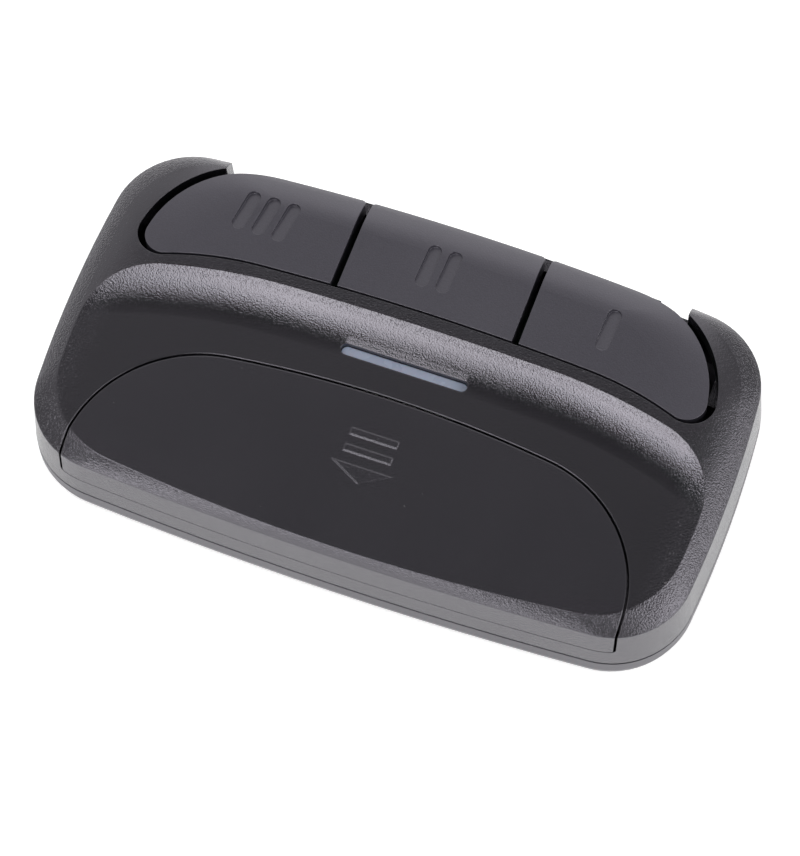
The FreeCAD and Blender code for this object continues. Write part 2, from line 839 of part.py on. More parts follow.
def bottom_housing():
    """Lower shell with its lip, board posts, screw bosses and the clip slot."""
    top = parting_height - parting_groove / 2
    lip_outer = prism(body_outline(shell_wall - lip_thickness, 0), top - past, lip_top)
    cavity = prism(body_outline(shell_wall, 0), floor_thickness, high)
    shell = lower_form(top).fuse(lip_outer).cut(cavity)
    roof = centred_box(0, clip_slot_y, clip_slot_width + 2 * clip_roof, clip_slot_length + 2 * clip_roof,
                       floor_thickness / 2, clip_slot_depth + clip_roof)
    pieces = [shell, roof] + snap_nubs()
    for place in screw_places():
        size = 2 * (screw_head_radius + screw_head_clearance + boss_bottom_wall)
        pieces.append(centred_box(place.x, place.y, size, size, floor_thickness / 2, parting_height))
    for x in (-board_post_x, board_post_x):
        for y in (-board_post_y, board_post_y):
            pieces.append(centred_box(x, y, board_post_size, board_post_size,
                                      floor_thickness / 2, board_bottom))
    pieces += [rod(board_pin_radius, x, y, board_bottom - bite, board_top + board_pin_height)
               for x, y in board_pins()]
    shell = fused(pieces)
    shell = shell.cut(centred_box(0, clip_slot_y, clip_slot_width, clip_slot_length, -past, clip_slot_depth))
    slot_end = clip_slot_y + clip_slot_length / 2
    for side in (-1, 1):
        ends = sorted((side * (clip_slot_width / 2 - clip_lip_width), side * (clip_slot_width / 2 + bite)))
        shell = shell.fuse(box(ends[0], ends[1], slot_end - clip_lip_length, slot_end + bite,
                               0, clip_lip_thickness))
    for place in screw_places():
        shell = shell.cut(rod(screw_head_radius + screw_head_clearance, place.x, place.y, -past, head_top))
        shell = shell.cut(rod(screw_shank_radius + screw_hole_clearance, place.x, place.y, -past, high))
    return shell.removeSplitter()


def board_pins():
    """Two pins at opposite corners that place the board."""
    return (-board_post_x, -board_post_y), (board_post_x, board_post_y)


def battery_door(body):
    """Arched plate with its folded skirt, two pairs of hooks and two ribs over the cell."""
    gap = -door_seam / 2
    window = door_front_window(gap, -door_foot_seam / 2, high, body_depth)
    skin = body.common(door_prism(gap, 0, high)).common(window)
    skin = skin.cut(drafted_block(door_skirt, parting_height, door_underside))
    pieces = [skin]
    for x, y in hook_places():
        hook = door_hook(x, y)
        pieces += [hook, mirrored(hook)]
    for x in (-door_rib_x, door_rib_x):
        pieces.append(centred_box(x, cell_y, door_rib_thickness, door_rib_length, cell_top + door_rib_gap,
                                  door_underside + bite))
    return fused(pieces)


def door_hook(x, y):
    """A stem through the deck's slot with a foot under the deck."""
    foot_top = deck_bottom - hook_foot_gap
    foot_bottom = foot_top - hook_foot_thickness
    stem = centred_box(x, y, hook_stem, hook_length, foot_bottom, door_underside + bite)
    return stem.fuse(centred_box(x, y, hook_foot_width, hook_length, foot_bottom, foot_top))


def button(name, body):
    """A hinged button: hollow cap, hinge cheeks and pin, press post and two catches."""
    split = button_split_gap / 2
    ranges = {"one": (button_split_x + split, far),
              "two": (-button_split_x + split, button_split_x - split),
              "three": (-far, -button_split_x - split)}
    x0, x1 = ranges[name]
    outline = button_field(0, button_skirt_height, high).common(box(x0, x1, -far, far, 0, high))
    cap = body.common(outline.makeFillet(button_back_corner_radius, back_corners(outline, x0, x1)))
    ceiling = roof_height(button_ceiling_share) - button_skin
    hollow = button_field(button_wall, button_skirt_height - past, high)
    cap = cap.cut(hollow.common(room_under_roof(ceiling, x0 + button_wall, x1 - button_wall)))
    middle = button_middles()[name]
    additions = []
    for x in hinge_stations(middle):
        cap = cap.cut(box(x - hinge_half_gap, x + hinge_half_gap, 0, hinge_y + hinge_notch_room, 0,
                          hinge_height + hinge_clip_half_height + hinge_notch_headroom))
        reach = hinge_half_gap + hinge_cheek / 2
        additions += [hinge_cheek_plate(x - reach, ceiling), hinge_cheek_plate(x + reach, ceiling),
                      cross_rod(hinge_pin_radius, x - reach, x + reach, hinge_y, hinge_height)]
    additions.append(centred_box(middle, press_y, press_post_size, press_post_size,
                                 plunger_top + press_gap, ceiling + bite))
    additions += [catch_arm(x) for x in catch_stations(name)]
    if name == "one":
        additions.append(button_apron())
    if name == "three":
        additions.append(mirrored(button_apron()))
    return fused([cap] + additions)


def button_apron():
    """Deeper skirt that closes the back wall's notch behind a button's curved end."""
    ring = button_field(0, button_apron_height, button_skirt_height + bite)
    ring = ring.cut(button_field(button_wall, button_apron_height - past, high))
    x0 = press_x + switch_size / 2 + button_apron_room
    y0 = screw_y + boss_size / 2 + button_apron_room
    return ring.common(box(x0, far, y0, far, 0, high))


def back_corners(outline, x0, x1):
    """The upright edges where a button's split faces meet its back face."""
    ends = [x for x in (x0, x1) if abs(x) < button_end_x]
    return [edge for edge in outline.Edges
            if edge.BoundBox.ZLength > past and edge.BoundBox.YMin > hinge_y
            and min(abs(edge.BoundBox.XMin - x) for x in ends) < hair]


def room_under_roof(ceiling, x0, x1):
    """Room under a button's skin: level, then down towards the back edge as the crown falls."""
    back_y = half_depth - button_back_inset - button_wall
    back_share = (half_depth - crease_inset - back_y) / crown_back
    bend_y = half_depth - crease_inset - button_ceiling_share * crown_back
    return side_profile([(0, 0), (back_y, 0), (back_y, roof_height(back_share) - button_skin),
                         (bend_y, ceiling), (0, ceiling)], x0, x1)


def hinge_cheek_plate(x, ceiling):
    """One of the two plates that carry the hinge pin."""
    return box(x - hinge_cheek / 2, x + hinge_cheek / 2, hinge_y - hinge_cheek_reach,
               hinge_y + hinge_cheek_reach, hinge_height - hinge_cheek_reach, ceiling + bite)


def catch_arm(x):
    """Arm inside the back wall with a lip that stops the button from rising."""
    outer_y = back_line(x, shell_wall + crease_inset) - catch_wall_gap
    x0 = x - catch_width / 2
    x1 = x + catch_width / 2
    arm = box(x0, x1, outer_y - catch_thickness, outer_y, catch_bottom_height, crease_height + catch_root)
    lip = box(x0, x1, outer_y - catch_thickness, outer_y + catch_lip_reach, catch_bottom_height,
              catch_bottom_height + catch_lip_height)
    return arm.fuse(lip)


def light_bar():
    """Clear bar in the slot, its flange under the skin and two legs down to the lamps."""
    bar = rounded_slot(light_length - 2 * light_clearance, light_width - 2 * light_clearance,
                       deck_top - bite, scoop_floor_height - light_sink)
    spread = 2 * (light_flange - light_clearance)
    flange_top = deck_top - light_clearance
    flange = centred_box(0, light_y, light_length + spread, light_width + spread,
                         flange_top - light_flange, flange_top)
    lamp_top = board_top + indicator_height + indicator_gap
    legs = [centred_box(x, light_y, light_leg_size, light_leg_size, lamp_top, flange_top - bite)
            for x in (-light_leg_x, light_leg_x)]
    return fused([bar, flange] + legs)


def indicator_leds():
    """The two lamps under the light bar's legs."""
    return Part.makeCompound([centred_box(x, light_y, indicator_size, indicator_size, board_top,
                                          board_top + indicator_height) for x in (-light_leg_x, light_leg_x)])


def circuit_board():
    """Board with round corners and holes for the lower shell's pins."""
    blank = centred_box(0, 0, 2 * board_half_width, 2 * board_half_depth, board_bottom, board_top)
    corners = [edge for edge in blank.Edges if edge.BoundBox.ZLength > board_thickness / 2]
    blank = blank.makeFillet(board_corner_radius, corners)
    for x, y in board_pins():
        blank = blank.cut(rod(board_pin_radius + board_pin_clearance, x, y, 0, high))
    return blank


def switch_case(x, y):
    """Square switch body with the round bore for its plunger."""
    case = centred_box(x, y, switch_size, switch_size, board_top, case_top)
    posts = [edge for edge in case.Edges if edge.BoundBox.ZLength > switch_case_height / 2]
    case = case.makeChamfer(switch_case_chamfer, posts)
    return case.cut(rod(switch_plunger_radius + switch_plunger_clearance, x, y,
                        case_top - switch_bore_depth, high))


def switch_plunger(x, y):
    return rod(switch_plunger_radius, x, y, case_top - switch_plunger_sunk, plunger_top)


def coin_cell():
    """Coin cell with its narrower lower can and wide upper rim."""
    can = rod(cell_radius, 0, cell_y, cell_top - cell_can_height, cell_top)
    base = rod(cell_radius - cell_rim_step, 0, cell_y, cell_bottom, cell_top)
    return can.fuse(base).removeSplitter()


def negative_contact():
    """Leaf under the cell: a flat foot on the board and two arms that rise to the cell."""
    level = cell_bottom - contact_thickness
    half_path = [(contact_foot_x, board_top), (contact_touch_x - contact_touch_half_length, level),
                 (contact_touch_x + contact_touch_half_length, level),
                 (contact_tip_x, level - contact_tip_dip)]
    path = [(-x, z) for x, z in reversed(half_path)] + half_path
    upper = [(x, z + contact_thickness) for x, z in reversed(path)]
    return front_profile(path + upper, cell_y - contact_width / 2, cell_y + contact_width / 2)


def positive_contact():
    """Upright leaf bowed towards the cell's rim, on a foot soldered to the board."""
    touch_x = -cell_radius - leaf_gap - contact_thickness
    back_x = touch_x - leaf_bow
    path = [(back_x, board_top), (touch_x, cell_top - cell_can_height / 2),
            (back_x, deck_bottom - leaf_top_gap)]
    inner = [(x + contact_thickness, z) for x, z in reversed(path)]
    leaf = front_profile(path + inner, cell_y - contact_width / 2, cell_y + contact_width / 2)
    foot = box(back_x - leaf_foot_length, back_x + bite, cell_y - contact_width / 2,
               cell_y + contact_width / 2, board_top, board_top + contact_thickness)
    return foot.fuse(leaf).removeSplitter()


def chip(place, length, legs):
    """A moulded chip with two rows of bent legs."""
    x, y = place
    pieces = [centred_box(x, y, length, chip_width, board_top + chip_standoff, board_top + chip_height)]
    half = chip_leg_width / 2
    for index in range(legs):
        leg_x = x + (index - (legs - 1) / 2) * chip_leg_pitch
        for side in (-1, 1):
            edge = y + side * (chip_width / 2 - bite)
            knee = y + side * (chip_width / 2 + chip_leg_thickness)
            toe = y + side * (chip_width / 2 + chip_leg_reach)
            profile = [(edge, board_top), (toe, board_top), (toe, board_top + chip_leg_thickness),
                       (knee, board_top + chip_leg_thickness), (knee, board_top + chip_leg_rise),
                       (edge, board_top + chip_leg_rise)]
            pieces.append(side_profile(profile, leg_x - half, leg_x + half))
    return fused(pieces)


def crystal_can():
    """Drawn metal can with round ends."""
    x, y = crystal_place
    top = board_top + crystal_height
    return fused([centred_box(x, y, 2 * crystal_half_length, 2 * crystal_radius, board_top, top),
                  rod(crystal_radius, x - crystal_half_length, y, board_top, top),
                  rod(crystal_radius, x + crystal_half_length, y, board_top, top)])


def resonator_filter():
    """Flat ceramic filter with a metal lid."""
    x, y = filter_place
    base_top = board_top + filter_base_height
    base = centred_box(x, y, filter_length, filter_width, board_top, base_top)
    lid_length = filter_length - 2 * filter_lid_step
    lid_width = filter_width - 2 * filter_lid_step
    return base.fuse(centred_box(x, y, lid_length, lid_width, base_top, base_top + filter_lid_height))


def small_parts(places, size):
    """A group of equal small parts on the board."""
    length, width, height = size
    return Part.makeCompound([centred_box(x, y, length, width, board_top, board_top + height)
                              for x, y in places])


def antenna_wire():
    """Flat copper wire bent into a loop that stands on the board along its right-hand edge."""
    x = board_half_width - antenna_side_inset
    front = -board_half_depth + antenna_front_inset
    back = front + antenna_length
    top = board_top + antenna_rise
    outer = [(front, board_top), (front, top), (back, top), (back, board_top)]
    inner = [(back - antenna_thickness, board_top), (back - antenna_thickness, top - antenna_thickness),
             (front + antenna_thickness, top - antenna_thickness), (front + antenna_thickness, board_top)]
    return side_profile(outer + inner, x - antenna_width / 2, x + antenna_width / 2)


def screw(place):
    """A pan-head screw that enters from below."""
    head = rod(screw_head_radius, place.x, place.y, screw_head_sink, head_top)
    return fused([head, rod(screw_shank_radius, place.x, place.y, head_top - bite, head_top + screw_length)])


def closure_screws():
    """The two screws near the back corners."""
    return Part.makeCompound([screw(place) for place in screw_places()])


def build():
    body = scooped_body(parting_height + parting_groove / 2)
    front_row_y = -board_half_depth + front_row_inset
    parts = {"top_housing": top_housing(body),
             "bottom_housing": bottom_housing(),
             "battery_door": battery_door(body),
             "light_bar": light_bar(),
             "indicator_leds": indicator_leds(),
             "circuit_board": circuit_board(),
             "coin_cell": coin_cell(),
             "positive_contact": positive_contact(),
             "negative_contact": negative_contact(),
             "microcontroller": chip(microcontroller_place, microcontroller_length, microcontroller_legs),
             "radio_chip": chip(radio_chip_place, radio_chip_length, radio_chip_legs),
             "crystal_can": crystal_can(),
             "resonator_filter": resonator_filter(),
             "capacitors": small_parts(capacitor_places + ((front_row_x, front_row_y),), capacitor_size),
             "resistors": small_parts(resistor_places + ((front_row_x - 2 * capacitor_size[0], front_row_y),),
                                      resistor_size),
             "antenna_wire": antenna_wire(),
             "program_switch_case": switch_case(program_switch_x, program_switch_y),
             "program_switch_plunger": switch_plunger(program_switch_x, program_switch_y),
             "closure_screws": closure_screws()}
    uncut = whole_body(parting_height)
    for name, middle in button_middles().items():
        parts["button_" + name] = button(name, uncut)
        parts["switch_case_" + name] = switch_case(middle, press_y)
        parts["switch_plunger_" + name] = switch_plunger(middle, press_y)
    return parts


os.makedirs("parts", exist_ok=True)
for node, shape in build().items():
    print(node, "solids", len(shape.Solids), "valid", shape.isValid(), "volume", round(shape.Volume, 2))
    shape.exportStep("parts/" + node + ".step")
print("press angle, degrees", round(math.degrees(math.atan(press_travel / (press_y - hinge_y))), 3))
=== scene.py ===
import math

import bmesh
import bpy
from mathutils import Matrix, Quaternion, Vector
from mathutils.bvhtree import BVHTree
from mathutils.interpolate import poly_3d_calc


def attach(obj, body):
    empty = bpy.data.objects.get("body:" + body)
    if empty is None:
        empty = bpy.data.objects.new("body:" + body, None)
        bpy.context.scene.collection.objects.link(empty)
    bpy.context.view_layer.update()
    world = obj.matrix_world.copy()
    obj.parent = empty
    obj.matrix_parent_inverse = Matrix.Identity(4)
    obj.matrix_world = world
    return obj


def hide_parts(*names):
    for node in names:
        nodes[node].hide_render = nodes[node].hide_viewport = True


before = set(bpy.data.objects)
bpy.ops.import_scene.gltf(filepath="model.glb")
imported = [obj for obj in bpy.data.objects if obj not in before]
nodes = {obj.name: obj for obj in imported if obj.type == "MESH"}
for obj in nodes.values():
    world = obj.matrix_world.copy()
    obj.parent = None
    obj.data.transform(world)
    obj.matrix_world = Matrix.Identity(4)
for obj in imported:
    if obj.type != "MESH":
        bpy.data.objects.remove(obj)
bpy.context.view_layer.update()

MM = 0.001

# Camera: the view of the photograph, in degrees and millimetres
VIEW_AZIMUTH = 22.238
VIEW_ELEVATION = 65.063
VIEW_ROLL = -2.332
VIEW_DISTANCE = 436.25
VIEW_FOCAL_PIXELS = 3856.2
VIEW_ASIDE = -0.2488
VIEW_UP = 4.6626
VIEW_TARGET_HEIGHT = 11.2
PHOTO_LONG_SIDE = 856
SENSOR = 36.0
CLIP_START = 10.0
CLIP_END = 20000.0

# Strokes sunk in the buttons, in millimetres: they are deep at the back and run out at the front.
# Each button has the y of their two ends, their slant in degrees and the x of each back end.
STROKE_WIDTH = 1.6
STROKE_BACK_DEPTH = 0.32
STROKE_FRONT_DEPTH = 0.13
STROKE_LEAST_DEPTH = 0.03
STROKE_SIDE_TILT = 0.15
STROKE_DRAFT = 0.2
STROKE_TOOL_ABOVE = 1.0
STROKES = {"button_one": (11.1, 16.55, 2.5, (20.5,)),
           "button_two": (11.85, 17.4, 2.0, (-1.5, 1.0)),
           "button_three": (11.75, 17.05, 7.0, (-23.5, -21.05, -18.6))}

# Raised arrow on the door, in millimetres
ARROW_HEIGHT = 0.10
ARROW_SINK = 0.2
ARROW_DRAFT = 0.8
ARROW_BARS = ((-7.75, -6.85), (-9.85, -8.95))
ARROW_BAR_LEFT = -2.95
ARROW_BAR_RIGHT = 2.75
ARROW_HEAD = ((-3.75, -11.2), (0.0, -13.2), (3.6, -11.2))
DOOR_FLAT_PLACE = (0, -5)

# Cross recess in the head of each closure screw, in millimetres
SCREW_PLACES = ((-35.2, 12.5), (35.2, 12.5))
SCREW_FACE_HEIGHT = 0.5
CROSS_ARM_LENGTH = 1.15
CROSS_ARM_HALF_WIDTH = 0.26
CROSS_DEPTH = 0.8
CROSS_TAPER = 0.6
CROSS_TOOL_BELOW = 0.2

# Carving, in millimetres: vertices this close are joined, and rays down start at this height
JOIN_DISTANCE = 0.001
RAY_START = 30.0

# A carved face is part of the solid's old surface when it lies this near to it, in millimetres,
# with at least this cosine between their directions. Its corners are looked up a share inwards.
SAME_SURFACE_DISTANCE = 0.002
SAME_SURFACE_COSINE = 0.999
CORNER_INSET = 0.03

# Level of all the light. The dome's own levels go by the sine of the height above the horizon.
LIGHT_LEVEL = 0.84
SKY_LEVELS = ((0.0, 0.50), (0.6, 0.56), (0.80, 0.56), (0.91, 0.44), (0.95, 0.04))

# Lamps: place, point aimed at, width and height in metres, power in watts and turn in degrees
LAMPS = {"overhead": ((-0.20, -0.23, 0.80), (-0.20, -0.23, 0.0), 0.34, 0.48, 3.15, 23),
         "front": ((-0.30, -1.0, 0.24), (0.0, 0.0, 0.0), 0.80, 0.40, 4.0, 0),
         "right": ((0.90, -0.04, 0.76), (0.0, -0.04, 0.62), 1.0, 1.0, 11.5, 0),
         "back": ((-0.15, 0.90, 0.50), (0.0, 0.0, 0.2), 0.75, 0.90, 2.1, 0),
         "left": ((-0.85, 0.55, 0.45), (0.0, 0.0, 0.2), 0.90, 0.80, 1.0, 0)}

# Floor: its side in metres, its colour and the glow that camera, mirror and glass rays see
FLOOR_SIDE = 6.0
FLOOR_COLOUR = (0.86, 0.86, 0.86, 1)
FLOOR_GLOW = 0.5

# Part of a noise field over which clouds of colour or sheen go from one end to the other
CLOUD_RANGE = (0.3, 0.7)

# Sheen of the plastic
PLASTIC_IOR = 1.88
PLASTIC_SHEEN_TINT = (0.94, 0.90, 1.0, 1)

# Moulded plastic: the fine field against the grain's cells, and its darkest and lightest grey
# as shares of the base
FINE_PER_CELL = 1.7
FINE_DEPTH_SHARE = 0.35
FINE_RANGE = (0.35, 0.75)
DARKER_SHARE = 0.82
LIGHTER_SHARE = 1.35

# Its clouds of sheen and its dust, by the metre; the dust's grey is a share of the base, lifted
CLOUD_SCALE = 55.0
DUST_SCALE = 900.0
DUST_RANGE = (0.80, 0.84)
DUST_SHARE = 4.0
DUST_LIFT = 0.05

# Rounding of edges, and level streaks on the walls, with their depth in millimetres
EDGE_SAMPLES = 6
STREAK_SCALE = (60.0, 60.0, 2200.0)
STREAK_DEPTH = 0.02

# Radius of the upper shell's and the door's edges by height, in millimetres: soft at the front
# crease and the seam
EDGE_PROFILE = ((10.2, 0.12), (10.6, 0.30), (11.85, 0.30), (12.08, 0.20), (12.20, 0.20),
                (12.35, 0.08))

# Depth of their grain by height, as a share. The side rims have more of it: what is added
# grows from nothing to its full share between two distances from the middle, in millimetres.
GRAIN_PROFILE = ((12.06, 0.9), (12.13, 0.25), (12.17, 0.25), (12.26, 0.4), (12.9, 0.36),
                 (13.1, 0.6))
RIM_START = 33.0
RIM_FULL = 35.5
RIM_GRAIN = 0.4

# Clear plastic of the light bar: clouds by the metre, lengths in millimetres
BAR_CLOUD_SCALE = 420.0
BAR_COLOURS = ((0.30, 0.33, 0.42, 1), (0.315, 0.345, 0.44, 1))
BAR_ROUGHNESS = (0.22, 0.34)
BAR_WAVE_DEPTH = 0.02
BAR_WAVE_STRENGTH = 0.15
BAR_EDGE = 0.15
BAR_IOR = 1.49
BAR_SCATTER = 0.25
BAR_SCATTER_DEPTH = 0.6

# Metal: clouds by the metre, and scratches across X with their depth in millimetres
METAL_CLOUD_SCALE = 260.0
SCRATCH_SCALE = (9000.0, 500.0, 500.0)
SCRATCH_DEPTH = 0.01

# Board: glass weave, by the metre and with its depth in millimetres, and tracks
WEAVE_SCALE = 1500.0
WEAVE_DEPTH = 0.02
WEAVE_STRENGTH = 0.12
BOARD_ROUGHNESS = (0.28, 0.36)
TRACK_SCALE = 160.0
TRACK_GAP = 0.06
TRACK_COLOURS = {"Color1": (0.004, 0.022, 0.010, 1), "Color2": (0.003, 0.018, 0.008, 1),
                 "Mortar": (0.006, 0.034, 0.016, 1)}


def link(tree, source, output, target, socket):
    tree.links.new(source.outputs[output], target.inputs[socket])


def material(name):
    mat = bpy.data.materials.new(name)
    mat.use_nodes = True
    tree = mat.node_tree
    tree.nodes.clear()
    return mat, tree


def shaded(name):
    """A material, its node tree and its one shader."""
    mat, tree = material(name)
    out = tree.nodes.new("ShaderNodeOutputMaterial")
    shader = tree.nodes.new("ShaderNodeBsdfPrincipled")
    link(tree, shader, "BSDF", out, "Surface")
    return mat, tree, shader


def stretched(tree, scale=(1.0, 1.0, 1.0)):
    coords = tree.nodes.new("ShaderNodeTexCoord")
    mapping = tree.nodes.new("ShaderNodeMapping")
    mapping.inputs["Scale"].default_value = scale
    link(tree, coords, "Object", mapping, "Vector")
    return mapping.outputs["Vector"]


def split(tree, coords):
    node = tree.nodes.new("ShaderNodeSeparateXYZ")
    tree.links.new(coords, node.inputs["Vector"])
    return node


def noise(tree, coords, scale, detail, rough=0.5, distortion=0.0):
    node = tree.nodes.new("ShaderNodeTexNoise")
    node.inputs["Scale"].default_value = scale
    node.inputs["Detail"].default_value = detail
    node.inputs["Roughness"].default_value = rough
    node.inputs["Distortion"].default_value = distortion
    tree.links.new(coords, node.inputs["Vector"])
    return node


def ramp(tree, source, output, low, high, low_colour, high_colour):
    node = tree.nodes.new("ShaderNodeValToRGB")
    node.color_ramp.elements[0].position = low
    node.color_ramp.elements[0].color = low_colour
    node.color_ramp.elements[1].position = high
    node.color_ramp.elements[1].color = high_colour
    link(tree, source, output, node, "Fac")
    return node


def level_ramp(tree, steps):
    """A ramp through grey levels, from steps of position and level."""
    node = tree.nodes.new("ShaderNodeValToRGB")
    for position, _ in steps[1:-1]:
        node.color_ramp.elements.new(position)
    for element, (position, level) in zip(node.color_ramp.elements, steps):
        element.position = position
        element.color = (level, level, level, 1)
    return node


def ranged(tree, source, output, low, high, to_low, to_high):
    node = tree.nodes.new("ShaderNodeMapRange")
    limits = (("From Min", low), ("From Max", high), ("To Min", to_low), ("To Max", to_high))
    for socket, value in limits:
        node.inputs[socket].default_value = value
    link(tree, source, output, node, "Value")
    return node


def calculated(tree, operation, *sources):
    """A Math node on the given outputs of nodes."""
    node = tree.nodes.new("ShaderNodeMath")
    node.operation = operation
    for i, (source, output) in enumerate(sources):
        link(tree, source, output, node, i)
    return node


def bumped(tree, height, depth, strength, normal=None):
    """A bump by the height of a texture, with its depth in millimetres."""
    node = tree.nodes.new("ShaderNodeBump")
    node.inputs["Strength"].default_value = strength
    node.inputs["Distance"].default_value = depth * MM
    link(tree, height, "Fac", node, "Height")
    if normal is not None:
        link(tree, normal, "Normal", node, "Normal")
    return node


def rounded_edges(tree, radius):
    node = tree.nodes.new("ShaderNodeBevel")
    node.samples = EDGE_SAMPLES
    node.inputs["Radius"].default_value = radius * MM
    return node


def cloudy_colour(tree, shader, cloud, low_colour, high_colour):
    colour = ramp(tree, cloud, "Fac", *CLOUD_RANGE, low_colour, high_colour)
    link(tree, colour, "Color", shader, "Base Color")


def uneven_sheen(tree, shader, field, rough_low, rough_high, field_range=CLOUD_RANGE):
    rough = ranged(tree, field, "Fac", *field_range, rough_low, rough_high)
    link(tree, rough, "Result", shader, "Roughness")


def grey(value, blue=1.25):
    """A grey with a share of blue and slightly less green than red."""
    return (value, value * 0.95, value * blue, 1.0)


def by_height(tree, coords, profile):
    """A value that follows a profile of heights, in millimetres, and levels between 0 and 1."""
    start = profile[0][0]
    span = profile[-1][0] - start
    place = split(tree, coords)
    share = ranged(tree, place, "Z", start * MM, (start + span) * MM, 0.0, 1.0)
    node = level_ramp(tree, [((height - start) / span, level) for height, level in profile])
    link(tree, share, "Result", node, "Fac")
    return node


def grain_share(tree, coords):
    """How deep the upper shell's grain is, by height and towards the side rims."""
    place = split(tree, coords)
    aside = calculated(tree, "ABSOLUTE", (place, "X"))
    rim = ranged(tree, aside, "Value", RIM_START * MM, RIM_FULL * MM, 0.0, RIM_GRAIN)
    height = by_height(tree, coords, GRAIN_PROFILE)
    return calculated(tree, "ADD", (height, "Color"), (rim, "Result"))


def moulded(name, base, rough_low, rough_high, grain, cell, edge, shaped=False, streaks=0.0):
    """Moulded plastic: spark-eroded grain, uneven sheen, rounded edges and dust.

    The grain's depth and cell and the edges' radius are in millimetres. A shaped one follows
    the profiles of the upper shell."""
    mat, tree, shader = shaded(name)
    coords = stretched(tree)
    fine = noise(tree, coords, FINE_PER_CELL / (cell * MM), 1.0)
    cells = noise(tree, coords, 1.0 / (cell * MM), 1.0, 0.4, 0.4)
    cloud = noise(tree, coords, CLOUD_SCALE, 3.0)
    colour = ramp(tree, fine, "Fac", *FINE_RANGE,
                  grey(base * DARKER_SHARE), grey(base * LIGHTER_SHARE))
    dust_spots = noise(tree, coords, DUST_SCALE, 1.0)
    dust = ramp(tree, dust_spots, "Fac", *DUST_RANGE, (0, 0, 0, 1), (1, 1, 1, 1))
    mixed = tree.nodes.new("ShaderNodeMixRGB")
    mixed.inputs["Color2"].default_value = grey(base * DUST_SHARE + DUST_LIFT, 1.0)
    link(tree, dust, "Color", mixed, "Fac")
    link(tree, colour, "Color", mixed, "Color1")
    link(tree, mixed, "Color", shader, "Base Color")
    uneven_sheen(tree, shader, cloud, rough_low, rough_high)
    edges = rounded_edges(tree, edge)
    coarse_bump = bumped(tree, cells, grain, 1.0, edges)
    fine_bump = bumped(tree, fine, grain * FINE_DEPTH_SHARE, 1.0, coarse_bump)
    last = fine_bump
    if shaped:
        radius = ranged(tree, by_height(tree, coords, EDGE_PROFILE), "Color", 0.0, 1.0, 0.0, MM)
        link(tree, radius, "Result", edges, "Radius")
        strength = grain_share(tree, coords)
        link(tree, strength, "Value", coarse_bump, "Strength")
        link(tree, strength, "Value", fine_bump, "Strength")
    if streaks > 0:
        drawn = noise(tree, stretched(tree, STREAK_SCALE), 1.0, 2.0)
        last = bumped(tree, drawn, STREAK_DEPTH, streaks, fine_bump)
    link(tree, last, "Normal", shader, "Normal")
    shader.inputs["IOR"].default_value = PLASTIC_IOR
    shader.inputs["Specular Tint"].default_value = PLASTIC_SHEEN_TINT
    return mat


def clear_bar():
    """Clear plastic, slightly cloudy, that scatters some light inside."""
    mat, tree, shader = shaded("light_bar_plastic")
    cloud = noise(tree, stretched(tree), BAR_CLOUD_SCALE, 3.0)
    cloudy_colour(tree, shader, cloud, *BAR_COLOURS)
    uneven_sheen(tree, shader, cloud, *BAR_ROUGHNESS)
    edges = rounded_edges(tree, BAR_EDGE)
    waves = bumped(tree, cloud, BAR_WAVE_DEPTH, BAR_WAVE_STRENGTH, edges)
    link(tree, waves, "Normal", shader, "Normal")
    shader.inputs["IOR"].default_value = BAR_IOR
    shader.inputs["Subsurface Weight"].default_value = BAR_SCATTER
    shader.inputs["Subsurface Scale"].default_value = BAR_SCATTER_DEPTH * MM
    return mat


def worn_metal(name, colour_low, colour_high, rough_low, rough_high, scratch):
    """Metal with clouded colour and sheen and with fine scratches."""
    mat, tree, shader = shaded(name)
    cloud = noise(tree, stretched(tree), METAL_CLOUD_SCALE, 4.0)
    lines = noise(tree, stretched(tree, SCRATCH_SCALE), 1.0, 2.0)
    cloudy_colour(tree, shader, cloud, colour_low, colour_high)
    uneven_sheen(tree, shader, cloud, rough_low, rough_high)
    link(tree, bumped(tree, lines, SCRATCH_DEPTH, scratch), "Normal", shader, "Normal")
    shader.inputs["Metallic"].default_value = 1.0
    return mat


def board_laminate():
    """Green solder mask over woven glass, with darker tracks."""
    mat, tree, shader = shaded("board_laminate")
    coords = stretched(tree)
    weave = tree.nodes.new("ShaderNodeTexWave")
    weave.wave_type = "BANDS"
    weave.inputs["Scale"].default_value = WEAVE_SCALE
    weave.inputs["Distortion"].default_value = 1.0
    tree.links.new(coords, weave.inputs["Vector"])
    tracks = tree.nodes.new("ShaderNodeTexBrick")
    tracks.inputs["Scale"].default_value = TRACK_SCALE
    tracks.inputs["Mortar Size"].default_value = TRACK_GAP
    for socket, colour in TRACK_COLOURS.items():
        tracks.inputs[socket].default_value = colour
    tree.links.new(coords, tracks.inputs["Vector"])
    link(tree, tracks, "Color", shader, "Base Color")
    uneven_sheen(tree, shader, weave, *BOARD_ROUGHNESS, field_range=(0.0, 1.0))
    link(tree, bumped(tree, weave, WEAVE_DEPTH, WEAVE_STRENGTH), "Normal", shader, "Normal")
    return mat


